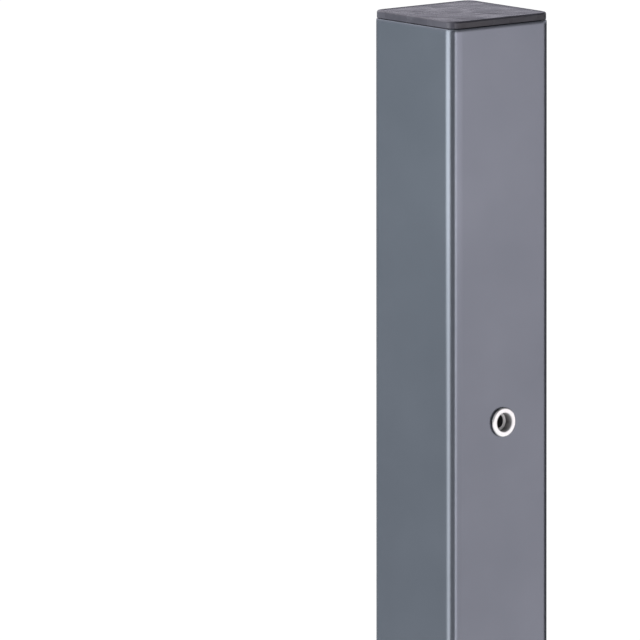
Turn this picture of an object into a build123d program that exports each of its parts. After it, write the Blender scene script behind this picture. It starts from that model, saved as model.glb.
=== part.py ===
from build123d import *
import os

# Square steel fence post with a push-in plastic cap and rivet nuts set in one face.
# Millimetres, +Z up. The origin is the centre of the open foot, and the face that
# carries the rivet nuts looks along -Y.

# Post tube: cold-formed square section, sawn square at both ends
post_length = 1200.0
post_width = 60.0
wall_thickness = 3.0
bend_radius = 3.0
end_deburr = 0.4

corner_radius = bend_radius + wall_thickness
bore_width = post_width - 2 * wall_thickness

# Rivet nuts: places on the post, and the hole that each one grips
upper_nut_drop = 186.7
nut_spacing = 420.0
shank_radius = 5.5
hole_clearance = 0.05

upper_nut_height = post_length - upper_nut_drop
lower_nut_height = upper_nut_height - nut_spacing
nut_hole_radius = shank_radius + hole_clearance

# Rivet nut: flange outside the wall, fold behind it, threaded barrel inside the tube
flange_radius = 7.0
flange_thickness = 1.5
flange_edge_chamfer = 0.5
mouth_chamfer = 0.2
fold_seat_height = 0.9
fold_crest_width = 1.2
fold_shoulder_width = 0.8
fold_shoulder_height = 0.9
barrel_length = 8.5
barrel_end_chamfer = 0.5
crush_bore_radius = 4.4
thread_radius = 3.325
thread_setback = 0.3
thread_lead_in = 0.3

fold_seat_radius = shank_radius + fold_seat_height
fold_crest_radius = fold_seat_radius + fold_shoulder_height
fold_crest_start = wall_thickness + fold_shoulder_width
fold_crest_end = fold_crest_start + fold_crest_width
fold_end = fold_crest_end + fold_shoulder_width
barrel_end = fold_end + barrel_length
thread_start = wall_thickness + thread_setback

# Top cap: flat plate on the tube's end, with a hollow finned plug below it
cap_thickness = 3.8
cap_top_wall = 2.4
cap_inset = 0.3
cap_edge_rounding = 0.9
cap_lower_chamfer = 0.2
plug_gap = 2.4
plug_wall = 1.6
plug_inner_radius = 1.2
plug_lead_length = 4.0
fin_count = 4
fin_pitch = 5.0
first_fin_drop = 3.0
fin_height = 1.6
fin_clearance = 0.1
fin_corner_relief = 1.2
fin_taper = 45.0
rib_thickness = 1.4
rib_depth = 12.0

cap_width = post_width - 2 * cap_inset
cap_corner_radius = corner_radius - cap_inset
plug_width = bore_width - 2 * plug_gap
plug_bore_width = plug_width - 2 * plug_wall
fin_width = bore_width - 2 * fin_clearance
fin_corner_radius = bend_radius + fin_corner_relief
fins_length = (fin_count - 1) * fin_pitch + fin_height
plug_depth = first_fin_drop + fins_length + plug_lead_length

tube_top = Plane.XY.offset(post_length)
cap_ceiling = Plane.XY.offset(post_length + cap_thickness - cap_top_wall)
fixing_face = Plane.XZ.offset(post_width / 2)

# Post tube
with BuildPart() as post_tube:
    with BuildSketch():
        RectangleRounded(post_width, post_width, corner_radius)
    extrude(amount=post_length)
    chamfer(post_tube.faces().sort_by(Axis.Z)[-1].edges(), end_deburr)
    chamfer(post_tube.faces().sort_by(Axis.Z)[0].edges(), end_deburr)
    with BuildSketch():
        RectangleRounded(bore_width, bore_width, bend_radius)
    extrude(amount=post_length, mode=Mode.SUBTRACT)
    with Locations(fixing_face):
        with Locations((0, upper_nut_height), (0, lower_nut_height)):
            Hole(nut_hole_radius, depth=2 * wall_thickness)

# Top cap
with BuildPart() as top_cap:
    with BuildSketch(tube_top):
        RectangleRounded(cap_width, cap_width, cap_corner_radius)
    extrude(amount=cap_thickness)
    fillet(top_cap.faces().sort_by(Axis.Z)[-1].edges(), cap_edge_rounding)
    chamfer(top_cap.faces().sort_by(Axis.Z)[0].edges(), cap_lower_chamfer)
    with BuildSketch(tube_top):
        RectangleRounded(plug_width, plug_width, plug_inner_radius + plug_wall)
    extrude(amount=-plug_depth)
    for fin in range(fin_count):
        fin_drop = first_fin_drop + fin * fin_pitch
        with BuildSketch(tube_top.offset(-fin_drop)):
            RectangleRounded(fin_width, fin_width, fin_corner_radius)
        extrude(amount=-fin_height, taper=fin_taper)
    with BuildSketch(cap_ceiling):
        RectangleRounded(plug_bore_width, plug_bore_width, plug_inner_radius)
    extrude(amount=-(cap_thickness - cap_top_wall + plug_depth), mode=Mode.SUBTRACT)
    with BuildSketch(cap_ceiling):
        Rectangle(plug_bore_width, rib_thickness)
        Rectangle(rib_thickness, plug_bore_width)
    extrude(amount=-rib_depth)

# Rivet nuts: one turned profile each, drawn from the tube's outer face inwards
rivet_nuts = []
for name, height in (("rivet_nut_upper", upper_nut_height), ("rivet_nut_lower", lower_nut_height)):
    nut_axis_plane = Plane(origin=(0, -post_width / 2, height), x_dir=(0, 1, 0), z_dir=(1, 0, 0))
    with BuildPart() as rivet_nut:
        with BuildSketch(nut_axis_plane):
            with BuildLine():
                Polyline(
                    (-flange_thickness, crush_bore_radius),
                    (-flange_thickness, flange_radius),
                    (0, flange_radius),
                    (0, shank_radius),
                    (wall_thickness, shank_radius),
                    (wall_thickness, fold_seat_radius),
                    (fold_crest_start, fold_crest_radius),
                    (fold_crest_end, fold_crest_radius),
                    (fold_end, fold_seat_radius),
                    (fold_end, shank_radius),
                    (barrel_end - barrel_end_chamfer, shank_radius),
                    (barrel_end, shank_radius - barrel_end_chamfer),
                    (barrel_end, thread_radius + thread_lead_in),
                    (barrel_end - thread_lead_in, thread_radius),
                    (thread_start + thread_lead_in, thread_radius),
                    (thread_start, thread_radius + thread_lead_in),
                    (thread_start, crush_bore_radius),
                    close=True,
                )
            make_face()
        revolve(axis=Axis((0, -post_width / 2, height), (0, 1, 0)))
        mouth_edge = rivet_nut.faces().sort_by(Axis.Y)[0].edges().sort_by(SortBy.LENGTH)[0]
        chamfer(mouth_edge, mouth_chamfer)
        flange_edge = rivet_nut.faces().sort_by(Axis.Y)[0].edges().sort_by(SortBy.LENGTH)[-1]
        chamfer(flange_edge, flange_edge_chamfer)
    rivet_nut.part.label = name
    rivet_nuts.append(rivet_nut.part)

post_tube.part.label = "post_tube"
top_cap.part.label = "top_cap"

os.makedirs("parts", exist_ok=True)
export_step(post_tube.part, "parts/post_tube.step")
export_step(top_cap.part, "parts/top_cap.step")
for nut in rivet_nuts:
    export_step(nut, f"parts/{nut.label}.step")
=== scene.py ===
import math

import bmesh
import bpy
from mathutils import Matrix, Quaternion, Vector


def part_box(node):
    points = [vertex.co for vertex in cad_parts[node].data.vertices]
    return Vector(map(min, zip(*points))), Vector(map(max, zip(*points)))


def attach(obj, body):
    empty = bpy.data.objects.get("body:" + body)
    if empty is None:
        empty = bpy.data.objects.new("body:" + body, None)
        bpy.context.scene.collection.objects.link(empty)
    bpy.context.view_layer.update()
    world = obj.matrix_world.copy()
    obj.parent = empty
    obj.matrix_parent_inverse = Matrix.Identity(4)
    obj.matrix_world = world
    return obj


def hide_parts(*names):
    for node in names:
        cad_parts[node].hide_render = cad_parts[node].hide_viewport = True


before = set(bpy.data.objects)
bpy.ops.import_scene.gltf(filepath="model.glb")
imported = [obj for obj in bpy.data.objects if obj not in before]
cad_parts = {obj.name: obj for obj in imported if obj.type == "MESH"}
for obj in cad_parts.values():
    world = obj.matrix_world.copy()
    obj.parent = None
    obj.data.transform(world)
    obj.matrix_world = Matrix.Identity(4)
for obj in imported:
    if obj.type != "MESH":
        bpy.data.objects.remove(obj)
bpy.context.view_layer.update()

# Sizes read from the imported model, in metres
MM = 0.001
_, tube_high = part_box("post_tube")
cap_low, cap_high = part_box("top_cap")
nut_low, nut_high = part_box("rivet_nut_upper")
lower_nut_low, lower_nut_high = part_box("rivet_nut_lower")
POST_HALF = tube_high.x
POST_LENGTH = tube_high.z
CAP_HALF = cap_high.x
CAP_TOP = cap_high.z
PLUG_FOOT = cap_low.z
FLANGE_THICKNESS = -POST_HALF - nut_low.y
BARREL_END = nut_high.y + POST_HALF
UPPER_NUT_HEIGHT = (nut_low.z + nut_high.z) / 2
LOWER_NUT_HEIGHT = (lower_nut_low.z + lower_nut_high.z) / 2

# The tube, whose edges the paint eases near the top
WALL = 3.0 * MM
CORNER_RADIUS = 6.0 * MM
END_ROUNDING = 0.5 * MM
EDGE_LEAN_HEIGHT = 1.7 * MM
EDGE_LEAN = 0.085 * MM
NUT_HOLE_RADIUS = 5.55 * MM

# The cap's plate. Its relief, crown and lip are on the visual only.
CAP_EDGE_ROUNDING = 0.9 * MM
CAP_LOWER_CHAMFER = 0.2 * MM
CAP_TOP_WALL = 2.4 * MM
CAP_RELIEF = 0.25 * MM
CAP_LAND_HALF = 27.9 * MM
CAP_CROWN = 0.24 * MM
CAP_LIP_DROP = 0.12 * MM
CAP_LIP_HEIGHT = 0.22 * MM
CAP_LIP_WIDTH = 1.7 * MM

# The cap's plug, with its fins and ribs
PLUG_HALF = 24.6 * MM
PLUG_RADIUS = 2.8 * MM
PLUG_BORE_HALF = 23.0 * MM
PLUG_BORE_RADIUS = 1.2 * MM
FIN_HALF = 26.9 * MM
FIN_RADIUS = 4.2 * MM
FIN_HEIGHT = 1.6 * MM
FIN_PITCH = 5.0 * MM
FIRST_FIN_DROP = 3.0 * MM
FIN_COUNT = 4
RIB_HALF = 0.7 * MM
RIB_DEPTH = 12.0 * MM
RIB_OVERLAP = 0.2 * MM

# The rivet nut. Its flange, mouth and fold are rounded where the solid's are bevelled.
FLANGE_RADIUS = 7.0 * MM
FLANGE_EDGE_ROUNDING = 0.7 * MM
FLANGE_SEAT_CHAMFER = 0.1 * MM
MOUTH_ROUNDING = 0.25 * MM
CRUSH_BORE_RADIUS = 4.4 * MM
SHANK_RADIUS = 5.5 * MM
FOLD_SEAT_RADIUS = 6.4 * MM
FOLD_CREST_RADIUS = 7.3 * MM
FOLD_HALF_LENGTH = 1.4 * MM
BARREL_END_CHAMFER = 0.5 * MM
THREAD_START = 3.3 * MM
THREAD_MINOR_RADIUS = 3.325 * MM
THREAD_MAJOR_RADIUS = 4.0 * MM
THREAD_PITCH = 1.25 * MM
THREAD_LEAD_IN = 0.3 * MM
THREAD_END_CLEARANCE = 0.1 * MM
THREAD_FLAT_SHARE = 0.12
THREAD_SLOPE_SHARE = 0.76

# How finely the curves are divided
CORNER_STEPS = 16
ROUNDING_STEPS = 6
LEAN_STEPS = 6
CAP_STEPS = 8
CROWN_SHARES = (0.04, 0.2, 0.35, 0.5, 0.65, 0.78, 0.9)
FOLD_STEPS = 8
TURNED_SEGMENTS = 72
ROWS_PER_PITCH = 10
RING_SEGMENTS = 96
SHARP_ANGLE = math.radians(32)

# The photograph: image size and where the post stands in it
IMAGE_PIXELS = 640
PIXELS_PER_METRE = 2141.5
FOCAL_PIXELS = 28000.0
AXIS_COLUMN = 461.45
CAP_TOP_ROW = 10.7
CAMERA_AZIMUTH = math.radians(-39.4)
CAMERA_ELEVATION = math.radians(8.0)
CAMERA_CLIP = (0.1, 100.0)
SENSOR_WIDTH = 36.0

# The tones of the finishes
PAINT_DARK = (0.188, 0.204, 0.243)
PAINT_LIGHT = (0.205, 0.221, 0.262)
PLASTIC_DARK = (0.094, 0.09, 0.114)
PLASTIC_LIGHT = (0.124, 0.12, 0.148)
ZINC_DARK = (0.7, 0.7, 0.7)
ZINC_LIGHT = (0.78, 0.78, 0.775)
# Painted shade on the flange's rim, where it meets the post's face
ZINC_RIM_SHADE = (0.3, 0.3, 0.31)
# Painted shade on the bore's wall, darker than the zinc outside
ZINC_BORE_SHADE = (0.3, 0.3, 0.3)
# Painted highlight on the step in the bore
ZINC_STEP_HIGHLIGHT = (0.98, 0.98, 0.97)
# Painted shade on the thread, deep in the bore
ZINC_THREAD_SHADE = (0.06, 0.06, 0.06)
ZINC_BORE_ROUGHNESS = (0.72, 0.72, 0.72)

# The part of a noise's values that is spread over a whole range
NOISE_MIDDLE = (0.3, 0.7)
BLOTCH_MIDDLE = (0.36, 0.64)

# Where the zinc changes: how far from the nut's axis, and how deep from the post's face
BORE_REACH = (CRUSH_BORE_RADIUS + 0.05 * MM, FLANGE_RADIUS - 2 * MM)
RIM_REACH = (FLANGE_RADIUS - 0.25 * MM, FLANGE_RADIUS - 0.1 * MM)
RIM_DEPTHS = (-1.0 * MM, -0.8 * MM)
BORE_DEPTHS = (-1.2 * MM, 2.4 * MM)
BORE_END_DEPTHS = (THREAD_START - 0.3 * MM, THREAD_START - 0.1 * MM)
STEP_DEPTHS = (THREAD_START - 0.15 * MM, THREAD_START - 0.05 * MM)
THREAD_TOP = THREAD_START + THREAD_LEAD_IN
THREAD_DEPTHS = (THREAD_TOP, THREAD_TOP + 0.3 * MM)

# Where a Mix node has its two colours, and its result, when it mixes colours
MIX_COLOURS = (6, 7)
MIX_RESULT = 2


# Shapes


def new_object(name, data):
    """An object in the scene's own collection."""
    made = bpy.data.objects.new(name, data)
    bpy.context.scene.collection.objects.link(made)
    return made


def object_from(name, bm):
    """An object with a bmesh as its mesh. The bmesh is freed."""
    mesh = bpy.data.meshes.new(name)
    bm.to_mesh(mesh)
    bm.free()
    return new_object(name, mesh)


def around(count):
    """Angles in even steps round a whole turn."""
    return [step / count * math.tau for step in range(count)]


def quarter_turn(steps=ROUNDING_STEPS):
    """Sine and cosine pairs from 0 to 90 degrees."""
    turns = [step / steps * math.pi / 2 for step in range(steps + 1)]
    return [(math.sin(turn), math.cos(turn)) for turn in turns]


def rounded_square(half, radius, z):
    """A ring of points round a square with rounded corners, anticlockwise from above."""
    ring = []
    for quarter in range(4):
        centre_x = (half - radius) * (1 if quarter in (0, 3) else -1)
        centre_y = (half - radius) * (1 if quarter in (0, 1) else -1)
        for step in range(CORNER_STEPS + 1):
            turn = (quarter + step / CORNER_STEPS) * math.pi / 2
            x = centre_x + radius * math.cos(turn)
            y = centre_y + radius * math.sin(turn)
            ring.append((x, y, z))
    return ring


def outer_radius(half):
    """The corner radius that keeps an outline at one distance from the tube's, all round."""
    return CORNER_RADIUS - POST_HALF + half


def outline(half, z):
    """A ring at one distance from the tube's outline, all round."""
    return rounded_square(half, outer_radius(half), z)


def skin(bm, rings, closed):
    """Quads between rings of equal point count. A closed skin joins the last ring to the first."""
    rows = [[bm.verts.new(point) for point in ring] for ring in rings]
    count = len(rows[0])
    following = rows[1:] + rows[:1] if closed else rows[1:]
    for row, after in zip(rows, following):
        for i in range(count):
            j = (i + 1) % count
            bm.faces.new((row[i], row[j], after[j], after[i]))
    if not closed:
        bm.faces.new(rows[0])
        bm.faces.new(rows[-1])


def make_piece(name, bm, material, slot, *nodes):
    """A piece from a bmesh: smooth over its curves, sharp at its edges, standing for CAD nodes."""
    bmesh.ops.recalc_face_normals(bm, faces=bm.faces)
    for face in bm.faces:
        face.smooth = True
    for edge in bm.edges:
        edge.smooth = edge.calc_face_angle(math.pi) < SHARP_ANGLE
    piece = object_from(name, bm)
    piece.data.materials.append(material)
    weighted = piece.modifiers.new("even_shading", "WEIGHTED_NORMAL")
    weighted.weight = 100
    weighted.keep_sharp = True
    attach(piece, "root")
    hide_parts(*nodes)
    return piece


def tube_rings():
    """The tube's outside from the foot up, then its inside."""
    flat = POST_HALF - END_ROUNDING
    lean_start = POST_LENGTH - EDGE_LEAN_HEIGHT
    rings = []
    for sine, cosine in quarter_turn():
        rings.append(outline(flat + END_ROUNDING * sine, END_ROUNDING * (1 - cosine)))
    for step in range(LEAN_STEPS):
        share = step / LEAN_STEPS
        height = lean_start + (EDGE_LEAN_HEIGHT - END_ROUNDING) * share
        rings.append(outline(POST_HALF - EDGE_LEAN * share**2, height))
    for sine, cosine in quarter_turn():
        height = POST_LENGTH - END_ROUNDING * (1 - sine)
        rings.append(outline(flat - EDGE_LEAN + END_ROUNDING * cosine, height))
    for height in (POST_LENGTH, 0.0):
        rings.append(rounded_square(POST_HALF - WALL, CORNER_RADIUS - WALL, height))
    return rings


def make_drill(height):
    """A round bar through the -Y wall, as wide as the hole for a rivet nut."""
    ends = []
    for y in (-POST_HALF - WALL, -POST_HALF + 2 * WALL):
        ring = []
        for turn in around(TURNED_SEGMENTS):
            x = NUT_HOLE_RADIUS * math.cos(turn)
            z = height + NUT_HOLE_RADIUS * math.sin(turn)
            ring.append((x, y, z))
        ends.append(ring)
    bm = bmesh.new()
    skin(bm, ends, closed=False)
    bmesh.ops.recalc_face_normals(bm, faces=bm.faces)
    return object_from("drill", bm)


def make_tube(material):
    """The square tube, with its sawn ends eased by the paint and a hole for each rivet nut."""
    bm = bmesh.new()
    skin(bm, tube_rings(), closed=True)
    bmesh.ops.recalc_face_normals(bm, faces=bm.faces)
    blank = object_from("tube_blank", bm)
    drills = [make_drill(height) for height in (UPPER_NUT_HEIGHT, LOWER_NUT_HEIGHT)]
    for drill in drills:
        cut = blank.modifiers.new("nut_hole", "BOOLEAN")
        cut.operation = "DIFFERENCE"
        cut.solver = "EXACT"
        cut.object = drill
    bpy.context.view_layer.update()
    drilled = blank.evaluated_get(bpy.context.evaluated_depsgraph_get())
    bm = bmesh.new()
    bm.from_mesh(bpy.data.meshes.new_from_object(drilled))
    for scratch in [blank, *drills]:
        bpy.data.objects.remove(scratch)
    make_piece("post_skin", bm, material, "post_paint", "post_tube")


def plate_rings():
    """The cap's plate: over its crown, up its lip, round its rim and in to the tube's end."""
    rim_half = CAP_HALF - CAP_EDGE_ROUNDING
    lip_foot = rim_half - CAP_LIP_WIDTH
    lip_top = CAP_TOP - CAP_LIP_DROP
    relief = POST_LENGTH + CAP_RELIEF
    rings = []
    for share in CROWN_SHARES:
        height = lip_top - CAP_LIP_HEIGHT + CAP_CROWN * (1 - share**2)
        rings.append(rounded_square(lip_foot * share, outer_radius(lip_foot) * share, height))
    for step in range(CAP_STEPS):
        climb = step / CAP_STEPS
        height = lip_top - CAP_LIP_HEIGHT * (1 - climb**2 * (3 - 2 * climb))
        rings.append(outline(lip_foot + CAP_LIP_WIDTH * climb, height))
    for sine, cosine in quarter_turn(CAP_STEPS):
        height = lip_top - CAP_EDGE_ROUNDING * (1 - cosine)
        rings.append(outline(rim_half + CAP_EDGE_ROUNDING * sine, height))
    rings.append(outline(CAP_HALF, relief + CAP_LOWER_CHAMFER))
    rings.append(outline(CAP_HALF - CAP_LOWER_CHAMFER, relief))
    rings.append(outline(CAP_LAND_HALF, relief))
    rings.append(outline(CAP_LAND_HALF, POST_LENGTH))
    return rings


def plug_rings():
    """The cap's hollow plug: down over its fins and up its bore."""
    rings = [rounded_square(PLUG_HALF, PLUG_RADIUS, POST_LENGTH)]
    for fin in range(FIN_COUNT):
        top = POST_LENGTH - FIRST_FIN_DROP - fin * FIN_PITCH
        bottom = top - FIN_HEIGHT
        rings.append(rounded_square(PLUG_HALF, PLUG_RADIUS, top))
        rings.append(rounded_square(FIN_HALF, FIN_RADIUS, top))
        rings.append(rounded_square(FIN_HALF - FIN_HEIGHT, FIN_RADIUS - FIN_HEIGHT, bottom))
        rings.append(rounded_square(PLUG_HALF, PLUG_RADIUS, bottom))
    rings.append(rounded_square(PLUG_HALF, PLUG_RADIUS, PLUG_FOOT))
    rings.append(rounded_square(PLUG_BORE_HALF, PLUG_BORE_RADIUS, PLUG_FOOT))
    rings.append(rounded_square(PLUG_BORE_HALF, PLUG_BORE_RADIUS, CAP_TOP - CAP_TOP_WALL))
    return rings


def rib_rings():
    """The plug's two crossed ribs, which run a little way into its walls and the plate."""
    ceiling = CAP_TOP - CAP_TOP_WALL
    end = PLUG_BORE_HALF + RIB_OVERLAP
    cross = [
        (end, -RIB_HALF), (end, RIB_HALF), (RIB_HALF, RIB_HALF), (RIB_HALF, end),
        (-RIB_HALF, end), (-RIB_HALF, RIB_HALF), (-end, RIB_HALF), (-end, -RIB_HALF),
        (-RIB_HALF, -RIB_HALF), (-RIB_HALF, -end), (RIB_HALF, -end), (RIB_HALF, -RIB_HALF),
    ]
    return [[(x, y, z) for x, y in cross] for z in (ceiling - RIB_DEPTH, ceiling + RIB_OVERLAP)]


def make_cap(material):
    """The moulded cap: a plate with a rounded rim, and a hollow plug whose fins grip the tube."""
    bm = bmesh.new()
    skin(bm, plate_rings() + plug_rings(), closed=False)
    skin(bm, rib_rings(), closed=False)
    make_piece("cap_moulding", bm, material, "cap_plastic", "top_cap")


def turned(depth, radius):
    """A row of the rivet nut that has one radius all round."""
    return depth, [radius] * TURNED_SEGMENTS


def thread_rows():
    """The thread's turns, from the barrel's end to the crush bore."""
    end = BARREL_END - THREAD_LEAD_IN
    count = round((end - THREAD_TOP) / THREAD_PITCH * ROWS_PER_PITCH)
    rows = []
    for row in range(count + 1):
        depth = end + (THREAD_TOP - end) * row / count
        swell = min(1.0, min(depth - THREAD_TOP, end - depth) / (THREAD_PITCH / 2))
        radii = []
        for segment in range(TURNED_SEGMENTS):
            phase = (depth / THREAD_PITCH - segment / TURNED_SEGMENTS) % 1.0
            slope = (1 - abs(2 * phase - 1) - THREAD_FLAT_SHARE) / THREAD_SLOPE_SHARE
            groove = min(1.0, max(0.0, slope))
            height = (THREAD_MAJOR_RADIUS - THREAD_MINOR_RADIUS) * groove * swell
            radii.append(THREAD_MINOR_RADIUS + height)
        rows.append((depth, radii))
    return rows


def nut_rows():
    """The rivet nut's turned outline, as rows of a depth from the post's face and the radii."""
    face = -FLANGE_THICKNESS
    rows = []
    for sine, cosine in quarter_turn():
        depth = face + MOUTH_ROUNDING * (1 - sine)
        rows.append(turned(depth, CRUSH_BORE_RADIUS + MOUTH_ROUNDING * (1 - cosine)))
    for sine, cosine in quarter_turn():
        depth = face + FLANGE_EDGE_ROUNDING * (1 - cosine)
        flat = FLANGE_RADIUS - FLANGE_EDGE_ROUNDING
        rows.append(turned(depth, flat + FLANGE_EDGE_ROUNDING * sine))
    rows.append(turned(-FLANGE_SEAT_CHAMFER, FLANGE_RADIUS))
    rows.append(turned(0.0, FLANGE_RADIUS - FLANGE_SEAT_CHAMFER))
    rows.append(turned(0.0, SHANK_RADIUS))
    rows.append(turned(WALL, SHANK_RADIUS))
    rows.append(turned(WALL, FOLD_SEAT_RADIUS))
    fold_middle = WALL + FOLD_HALF_LENGTH
    for step in range(FOLD_STEPS + 1):
        turn = (step / FOLD_STEPS - 0.5) * math.pi
        radius = FOLD_SEAT_RADIUS + (FOLD_CREST_RADIUS - FOLD_SEAT_RADIUS) * math.cos(turn)
        rows.append(turned(fold_middle + FOLD_HALF_LENGTH * math.sin(turn), radius))
    rows.append(turned(fold_middle + FOLD_HALF_LENGTH, SHANK_RADIUS))
    rows.append(turned(BARREL_END - BARREL_END_CHAMFER, SHANK_RADIUS))
    rows.append(turned(BARREL_END, SHANK_RADIUS - BARREL_END_CHAMFER))
    rows.append(turned(BARREL_END, THREAD_MAJOR_RADIUS + THREAD_END_CLEARANCE))
    rows.extend(thread_rows())
    rows.append(turned(THREAD_START, THREAD_MINOR_RADIUS + THREAD_LEAD_IN))
    rows.append(turned(THREAD_START, CRUSH_BORE_RADIUS))
    return rows


def make_nut(name, height, material, node):
    """A set rivet nut whose own origin is on the post's face, so that its finish is round it."""
    rings = []
    for depth, radii in nut_rows():
        ring = []
        for turn, radius in zip(around(TURNED_SEGMENTS), radii):
            ring.append((radius * math.cos(turn), depth, radius * math.sin(turn)))
        rings.append(ring)
    bm = bmesh.new()
    skin(bm, rings, closed=True)
    piece = make_piece(name, bm, material, "nut_zinc", node)
    piece.location = (0.0, -POST_HALF, height)


# Materials


def new_material(name):
    """A node material with its tree and its Principled shader."""
    material = bpy.data.materials.new(name)
    material.use_nodes = True
    tree = material.node_tree
    return material, tree, tree.nodes["Principled BSDF"]


def add_node(tree, kind, **settings):
    """A new node, with its properties set by name."""
    node = tree.nodes.new(kind)
    for key, value in settings.items():
        setattr(node, key, value)
    return node


def coordinates(tree, kind="Object"):
    """A place in the object's own frame, or a texture coordinate of another kind."""
    return tree.nodes.new("ShaderNodeTexCoord").outputs[kind]


def parts_of(tree, vector):
    """The X, Y and Z of a vector."""
    node = tree.nodes.new("ShaderNodeSeparateXYZ")
    tree.links.new(vector, node.inputs["Vector"])
    return node.outputs


def length_of(tree, vector):
    """The length of a vector."""
    node = add_node(tree, "ShaderNodeVectorMath", operation="LENGTH")
    tree.links.new(vector, node.inputs[0])
    return node.outputs["Value"]


def calculate(tree, operation, *values):
    """A math node over values, each a number or a socket."""
    node = add_node(tree, "ShaderNodeMath", operation=operation)
    for socket, value in zip(node.inputs, values):
        if isinstance(value, float):
            socket.default_value = value
        else:
            tree.links.new(value, socket)
    return node.outputs["Value"]


def noise(tree, vector, scale, detail):
    """A noise texture over a vector output."""
    node = tree.nodes.new("ShaderNodeTexNoise")
    node.inputs["Scale"].default_value = scale
    node.inputs["Detail"].default_value = detail
    tree.links.new(vector, node.inputs["Vector"])
    return node.outputs["Fac"]


def spread(tree, value, low, high, limits, kind="LINEAR"):
    """A value between two limits, mapped to between low and high."""
    node = add_node(tree, "ShaderNodeMapRange", interpolation_type=kind)
    numbers = {"From Min": limits[0], "From Max": limits[1], "To Min": low, "To Max": high}
    for name, number in numbers.items():
        node.inputs[name].default_value = number
    tree.links.new(value, node.inputs["Value"])
    return node.outputs["Result"]


def pick(tree, factor, first, second):
    """A colour between two, by a factor from 0 to 1. Each of the two is a value or a socket."""
    node = add_node(tree, "ShaderNodeMix", data_type="RGBA")
    tree.links.new(factor, node.inputs["Factor"])
    for index, colour in zip(MIX_COLOURS, (first, second)):
        if isinstance(colour, tuple):
            node.inputs[index].default_value = (*colour, 1.0)
        else:
            tree.links.new(colour, node.inputs[index])
    return node.outputs[MIX_RESULT]


def bump(tree, height, distance, under=None):
    """A bump normal from a height value, on top of another where one is given."""
    node = tree.nodes.new("ShaderNodeBump")
    node.inputs["Distance"].default_value = distance
    tree.links.new(height, node.inputs["Height"])
    if under is not None:
        tree.links.new(under, node.inputs["Normal"])
    return node.outputs["Normal"]


def post_paint():
    """Satin powder coat with a metallic share: faint clouds, fine orange peel and finer grain."""
    material, tree, shader = new_material("post_paint")
    place = coordinates(tree)
    clouds = noise(tree, place, scale=28.0, detail=3.0)
    peel = noise(tree, place, scale=620.0, detail=2.0)
    grain = noise(tree, place, scale=2600.0, detail=2.0)
    tone = spread(tree, clouds, 0.0, 1.0, NOISE_MIDDLE)
    colour = pick(tree, tone, PAINT_DARK, PAINT_LIGHT)
    tree.links.new(colour, shader.inputs["Base Color"])
    roughness = spread(tree, grain, 0.2, 0.27, NOISE_MIDDLE)
    tree.links.new(roughness, shader.inputs["Roughness"])
    shader.inputs["Metallic"].default_value = 0.6
    coarse = bump(tree, peel, distance=0.012 * MM)
    fine = bump(tree, grain, distance=0.002 * MM, under=coarse)
    tree.links.new(fine, shader.inputs["Normal"])
    return material


def cap_plastic():
    """Matt moulded plastic: fine grain and soft unevenness from its cooling."""
    material, tree, shader = new_material("cap_plastic")
    place = coordinates(tree)
    blotches = noise(tree, place, scale=85.0, detail=2.0)
    grain = noise(tree, place, scale=1500.0, detail=3.0)
    tone = spread(tree, blotches, 0.0, 1.0, BLOTCH_MIDDLE)
    colour = pick(tree, tone, PLASTIC_DARK, PLASTIC_LIGHT)
    tree.links.new(colour, shader.inputs["Base Color"])
    roughness = spread(tree, blotches, 0.2, 0.32, BLOTCH_MIDDLE)
    tree.links.new(roughness, shader.inputs["Roughness"])
    shader.inputs["Specular IOR Level"].default_value = 0.32
    waves = bump(tree, blotches, distance=0.9 * MM)
    fine = bump(tree, grain, distance=0.012 * MM, under=waves)
    tree.links.new(fine, shader.inputs["Normal"])
    return material


def nut_zinc():
    """Bright zinc plate over turned steel: fine rings round the axis and a faint mottle.

    The flange's rim, the bore's wall and the thread beyond the step are darkened with painted
    shade, and the step in the bore is lightened with a painted highlight. The bore is also matt.
    """
    material, tree, shader = new_material("nut_zinc")
    place = coordinates(tree)
    depth = parts_of(tree, place)["Y"]
    flatten = add_node(tree, "ShaderNodeVectorMath", operation="MULTIPLY")
    flatten.inputs[1].default_value = (1.0, 0.0, 1.0)
    tree.links.new(place, flatten.inputs[0])
    reach = length_of(tree, flatten.outputs["Vector"])
    rings = noise(tree, reach, scale=9000.0, detail=2.0)
    mottle = noise(tree, place, scale=900.0, detail=3.0)

    # Each part of the nut, as a value that is 1 there and 0 elsewhere
    bore = spread(tree, reach, 1.0, 0.0, BORE_REACH)
    deep = spread(tree, depth, 0.0, 1.0, BORE_DEPTHS)
    before_step = spread(tree, depth, 1.0, 0.0, BORE_END_DEPTHS)
    # The bore's wall before the step, darkened with painted shade
    wall = calculate(tree, "MULTIPLY", calculate(tree, "MULTIPLY", deep, before_step), bore)
    # The flange's rim, darkened with painted shade
    outside = spread(tree, reach, 0.0, 1.0, RIM_REACH)
    seat = spread(tree, depth, 0.0, 1.0, RIM_DEPTHS)
    rim = calculate(tree, "MULTIPLY", outside, seat)
    # The step in the bore, lightened with a painted highlight
    step = calculate(tree, "MULTIPLY", spread(tree, depth, 0.0, 1.0, STEP_DEPTHS), bore)
    # The thread beyond the step, darkened with painted shade
    thread = spread(tree, depth, 0.0, 1.0, THREAD_DEPTHS)

    colour = pick(tree, mottle, ZINC_DARK, ZINC_LIGHT)
    # Painted shade on the flange's rim, the bore's wall and the thread, and a painted highlight on
    # the step
    for part, tone in (
        (rim, ZINC_RIM_SHADE), (wall, ZINC_BORE_SHADE), (step, ZINC_STEP_HIGHLIGHT), (thread, ZINC_THREAD_SHADE),
    ):
        colour = pick(tree, part, colour, tone)
    tree.links.new(colour, shader.inputs["Base Color"])
    sheen = spread(tree, mottle, 0.2, 0.3, NOISE_MIDDLE)
    roughness = pick(tree, bore, sheen, ZINC_BORE_ROUGHNESS)
    tree.links.new(roughness, shader.inputs["Roughness"])
    shader.inputs["Metallic"].default_value = 1.0
    tree.links.new(bump(tree, rings, distance=0.006 * MM), shader.inputs["Normal"])
    return material


# Studio

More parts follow.
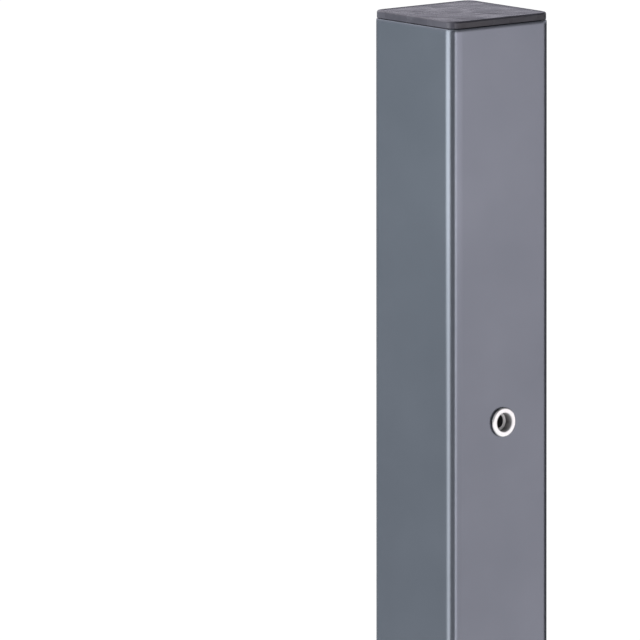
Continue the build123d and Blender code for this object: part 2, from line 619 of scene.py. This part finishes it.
# What the gloss of the post mirrors: colours at degrees round the studio, from +X towards +Y.
# The four lists lie one above another.
FLOOR_STUDIO = [
    (0, (0.6, 0.62, 0.66)),
    (100, (0.62, 0.64, 0.68)),
    (112, (1.5, 1.53, 1.56)),
    (138, (1.5, 1.53, 1.56)),
    (148, (0.2, 0.2, 0.22)),
    (166, (0.2, 0.2, 0.22)),
    (176, (1.2, 1.16, 1.2)),
    (288, (1.2, 1.16, 1.2)),
    (296, (1.5, 1.53, 1.56)),
    (316, (1.5, 1.53, 1.56)),
    (326, (0.2, 0.2, 0.22)),
    (345, (0.2, 0.2, 0.22)),
    (354, (0.6, 0.62, 0.66)),
]
LOWER_STUDIO = [
    (0, (0.03, 0.03, 0.03)),
    (16, (0.03, 0.03, 0.03)),
    (36, (0.5, 0.5, 0.53)),
    (60, (0.4, 0.42, 0.44)),
    (124, (0.3, 0.36, 0.39)),
    (147, (0.3, 0.36, 0.39)),
    (166, (3.0, 3.1, 3.05)),
    (181, (3.0, 3.1, 3.05)),
    (194, (0.03, 0.03, 0.04)),
    (229, (0.03, 0.03, 0.04)),
    (236, (3.8, 3.7, 3.75)),
    (243, (3.8, 3.7, 3.75)),
    (250, (1.64, 1.54, 1.58)),
    (331, (1.64, 1.54, 1.58)),
    (341, (0.03, 0.03, 0.03)),
]
UPPER_STUDIO = [
    (0, (1.9, 1.88, 1.95)),
    (12, (1.9, 1.88, 1.95)),
    (26, (0.78, 0.75, 0.86)),
    (112, (0.78, 0.77, 0.84)),
    (140, (0.8, 0.85, 0.9)),
    (156, (2.8, 2.9, 2.85)),
    (186, (2.8, 2.9, 2.85)),
    (198, (0.03, 0.03, 0.04)),
    (229, (0.12, 0.12, 0.13)),
    (320, (0.12, 0.12, 0.13)),
    (334, (0.78, 0.75, 0.86)),
    (348, (1.9, 1.88, 1.95)),
]
CEILING_STUDIO = [
    (0, (0.15, 0.15, 0.17)),
    (55, (0.15, 0.15, 0.17)),
    (70, (1.6, 1.55, 1.65)),
    (112, (1.6, 1.55, 1.65)),
    (130, (0.85, 0.85, 0.9)),
    (190, (0.85, 0.85, 0.9)),
    (210, (0.3, 0.3, 0.3)),
    (240, (0.3, 0.3, 0.3)),
    (252, (0.04, 0.04, 0.04)),
    (275, (0.04, 0.04, 0.04)),
    (300, (0.3, 0.3, 0.31)),
    (345, (0.3, 0.3, 0.31)),
]

# Where each list takes over from the one below it, as a direction's Z. UNDER is the lowest.
UNDER = (0.7, 0.7, 0.72)
STOREYS = [
    ((-0.8, -0.5), FLOOR_STUDIO),
    ((-0.25, -0.19), LOWER_STUDIO),
    ((-0.1, 0.06), UPPER_STUDIO),
    ((0.06, 0.3), CEILING_STUDIO),
]
AMBIENT = (0.13, 0.13, 0.135)
WHITE = (1.0, 1.0, 1.0)

# The extra light that a ring of lamps close to the top of the post adds to its reflections.
# It rises and falls between the ring's lower and upper edge.
RING_RADIUS = 0.3
RING_HEIGHTS = (0.93, 1.22)
RING_RISE = (0.95, 1.14)
RING_FALL = (1.18, 1.21)
RING_LIGHT = [
    (0, (0.0, 0.0, 0.0)),
    (112, (0.0, 0.0, 0.0)),
    (122, (0.06, 0.08, 0.08)),
    (143, (0.06, 0.08, 0.08)),
    (161, (2.4, 2.5, 2.45)),
    (169, (1.1, 1.15, 1.15)),
    (186, (1.0, 1.05, 1.05)),
    (196, (0.0, 0.0, 0.0)),
    (236, (0.0, 0.0, 0.0)),
    (243, (0.5, 0.48, 0.5)),
    (252, (0.75, 0.7, 0.75)),
    (292, (0.42, 0.4, 0.42)),
    (314, (0.0, 0.0, 0.0)),
]

# The floor, whose glow rises from one level to the other between two distances from the post
FLOOR_HALF = 40.0
FLOOR_GREY = (0.45, 0.45, 0.45, 1.0)
FLOOR_GLOW = (0.78, 0.99)
FLOOR_GLOW_REACH = (1.0, 4.0)


def studio_ramp(tree, place, stops):
    """A colour ramp round the horizon."""
    node = tree.nodes.new("ShaderNodeValToRGB")
    ramp = node.color_ramp
    for index, (degrees, colour) in enumerate(stops):
        element = ramp.elements[0] if index == 0 else ramp.elements.new(degrees / 360)
        element.position = degrees / 360
        element.color = (*colour, 1.0)
    ramp.elements[len(ramp.elements) - 1].color = (*stops[0][1], 1.0)
    tree.links.new(place, node.inputs["Fac"])
    return node.outputs["Color"]


def compass(tree, parts):
    """The share of a whole turn from +X towards +Y, from 0 to 1."""
    angle = calculate(tree, "ARCTAN2", parts["Y"], parts["X"])
    return calculate(tree, "FRACT", calculate(tree, "DIVIDE", angle, math.tau))


def surface_with_glow(tree, base, glow):
    """Makes a base shader with an emission added to it the surface of a material."""
    both = tree.nodes.new("ShaderNodeAddShader")
    tree.links.new(base.outputs["BSDF"], both.inputs[0])
    tree.links.new(glow.outputs["Emission"], both.inputs[1])
    tree.links.new(both.outputs["Shader"], tree.nodes["Material Output"].inputs["Surface"])


def make_light_ring():
    """A see-through ring of light near the top of the post, seen only by reflections."""
    points = []
    for z in RING_HEIGHTS:
        for turn in around(RING_SEGMENTS):
            points.append((RING_RADIUS * math.cos(turn), RING_RADIUS * math.sin(turn), z))
    faces = []
    for i in range(RING_SEGMENTS):
        j = (i + 1) % RING_SEGMENTS
        faces.append((i, j, RING_SEGMENTS + j, RING_SEGMENTS + i))
    mesh = bpy.data.meshes.new("light_ring")
    mesh.from_pydata(points, [], faces)
    ring = new_object("light_ring", mesh)
    material, tree, shader = new_material("light_ring")
    tree.nodes.remove(shader)
    parts = parts_of(tree, coordinates(tree))
    rise = spread(tree, parts["Z"], 0.0, 1.0, RING_RISE, kind="SMOOTHSTEP")
    fall = spread(tree, parts["Z"], 1.0, 0.0, RING_FALL, kind="SMOOTHSTEP")
    glow = tree.nodes.new("ShaderNodeEmission")
    colour = studio_ramp(tree, compass(tree, parts), RING_LIGHT)
    tree.links.new(colour, glow.inputs["Color"])
    tree.links.new(calculate(tree, "MULTIPLY", rise, fall), glow.inputs["Strength"])
    surface_with_glow(tree, tree.nodes.new("ShaderNodeBsdfTransparent"), glow)
    mesh.materials.append(material)
    ring.visible_camera = False
    ring.visible_diffuse = False
    ring.visible_transmission = False
    ring.visible_shadow = False


def make_world():
    """White to the camera, the studio to reflections, and a soft even light to everything else."""
    world = bpy.data.worlds.new("studio")
    bpy.context.scene.world = world
    world.use_nodes = True
    tree = world.node_tree
    tree.nodes.clear()
    parts = parts_of(tree, coordinates(tree, "Generated"))
    place = compass(tree, parts)
    studio = UNDER
    for limits, stops in STOREYS:
        above = spread(tree, parts["Z"], 0.0, 1.0, limits)
        studio = pick(tree, above, studio, studio_ramp(tree, place, stops))
    ray = tree.nodes.new("ShaderNodeLightPath").outputs
    lit = pick(tree, ray["Is Glossy Ray"], AMBIENT, studio)
    through = pick(tree, ray["Is Transmission Ray"], lit, WHITE)
    seen = pick(tree, ray["Is Camera Ray"], through, WHITE)
    background = tree.nodes.new("ShaderNodeBackground")
    tree.links.new(seen, background.inputs["Color"])
    output = tree.nodes.new("ShaderNodeOutputWorld")
    tree.links.new(background.outputs["Background"], output.inputs["Surface"])


def make_floor():
    """A pale floor, white to the camera where no shadow falls on it."""
    mesh = bpy.data.meshes.new("floor")
    half = FLOOR_HALF
    corners = [(-half, -half, 0), (half, -half, 0), (half, half, 0), (-half, half, 0)]
    mesh.from_pydata(corners, [], [(0, 1, 2, 3)])
    floor = new_object("floor", mesh)
    material, tree, shader = new_material("floor")
    tree.nodes.remove(shader)
    diffuse = tree.nodes.new("ShaderNodeBsdfDiffuse")
    diffuse.inputs["Color"].default_value = FLOOR_GREY
    own_white = spread(tree, length_of(tree, coordinates(tree)), *FLOOR_GLOW, FLOOR_GLOW_REACH)
    ray = tree.nodes.new("ShaderNodeLightPath").outputs
    seen = calculate(tree, "MAXIMUM", ray["Is Camera Ray"], ray["Is Transmission Ray"])
    glow = tree.nodes.new("ShaderNodeEmission")
    tree.links.new(calculate(tree, "MULTIPLY", seen, own_white), glow.inputs["Strength"])
    surface_with_glow(tree, diffuse, glow)
    mesh.materials.append(material)
    floor.visible_glossy = False


def area_light(name, degrees, distance, height, size, power, aim_height, colour=WHITE):
    """A soft box at a compass angle round the post. Its mirror image is in the studio's colours."""
    data = bpy.data.lights.new(name, "AREA")
    data.shape = "RECTANGLE"
    data.size, data.size_y = size
    data.energy = power
    data.color = colour
    light = new_object(name, data)
    turn = math.radians(degrees)
    light.location = (distance * math.cos(turn), distance * math.sin(turn), height)
    aim = Vector((0.0, 0.0, aim_height)) - light.location
    light.rotation_mode = "QUATERNION"
    light.rotation_quaternion = aim.to_track_quat("-Z", "Y")
    light.visible_glossy = False
    light.visible_camera = False


def make_camera():
    """A long lens, which keeps the post's sides parallel, set by where the post stands in frame."""
    data = bpy.data.cameras.new("camera")
    data.sensor_width = SENSOR_WIDTH
    data.lens = FOCAL_PIXELS / IMAGE_PIXELS * SENSOR_WIDTH
    data.clip_start, data.clip_end = CAMERA_CLIP
    camera = new_object("camera", data)
    a, e = CAMERA_AZIMUTH, CAMERA_ELEVATION
    back = Vector((math.sin(a) * math.cos(e), -math.cos(a) * math.cos(e), math.sin(e)))
    right = Vector((math.cos(a), math.sin(a), 0.0))
    distance = FOCAL_PIXELS / PIXELS_PER_METRE
    rise = IMAGE_PIXELS / 2 - CAP_TOP_ROW
    drop = rise * distance / (FOCAL_PIXELS * math.cos(e) + rise * math.sin(e))
    aside = (AXIS_COLUMN - IMAGE_PIXELS / 2) / PIXELS_PER_METRE
    aim = Vector((0.0, 0.0, CAP_TOP - drop)) - right * aside
    camera.location = aim + back * distance
    camera.rotation_mode = "QUATERNION"
    roll = Quaternion((0.0, 0.0, 1.0), -math.atan(aside * math.tan(e) / distance))
    camera.rotation_quaternion = (-back).to_track_quat("-Z", "Y") @ roll
    bpy.context.scene.camera = camera


make_camera()
paint = post_paint()
plastic = cap_plastic()
zinc = nut_zinc()
make_tube(paint)
make_cap(plastic)
make_nut("upper_nut", UPPER_NUT_HEIGHT, zinc, "rivet_nut_upper")
make_nut("lower_nut", LOWER_NUT_HEIGHT, zinc, "rivet_nut_lower")
for node, material in (
    ("post_tube", paint), ("top_cap", plastic),
    ("rivet_nut_upper", zinc), ("rivet_nut_lower", zinc),
):
    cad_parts[node].data.materials.clear()
    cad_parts[node].data.materials.append(material)

make_world()
make_floor()
make_light_ring()
area_light(
    "left_box", degrees=168, distance=2.0, height=1.3, size=(1.3, 2.2), power=34.0,
    aim_height=0.9, colour=(0.97, 1.0, 0.99),
)
area_light(
    "front_box", degrees=235, distance=3.0, height=1.8, size=(1.6, 1.6), power=5.0,
    aim_height=0.9,
)
area_light(
    "back_box", degrees=60, distance=1.9, height=3.0, size=(1.6, 1.6), power=66.0,
    aim_height=1.0,
)
bpy.context.scene.view_settings.view_transform = "Standard"
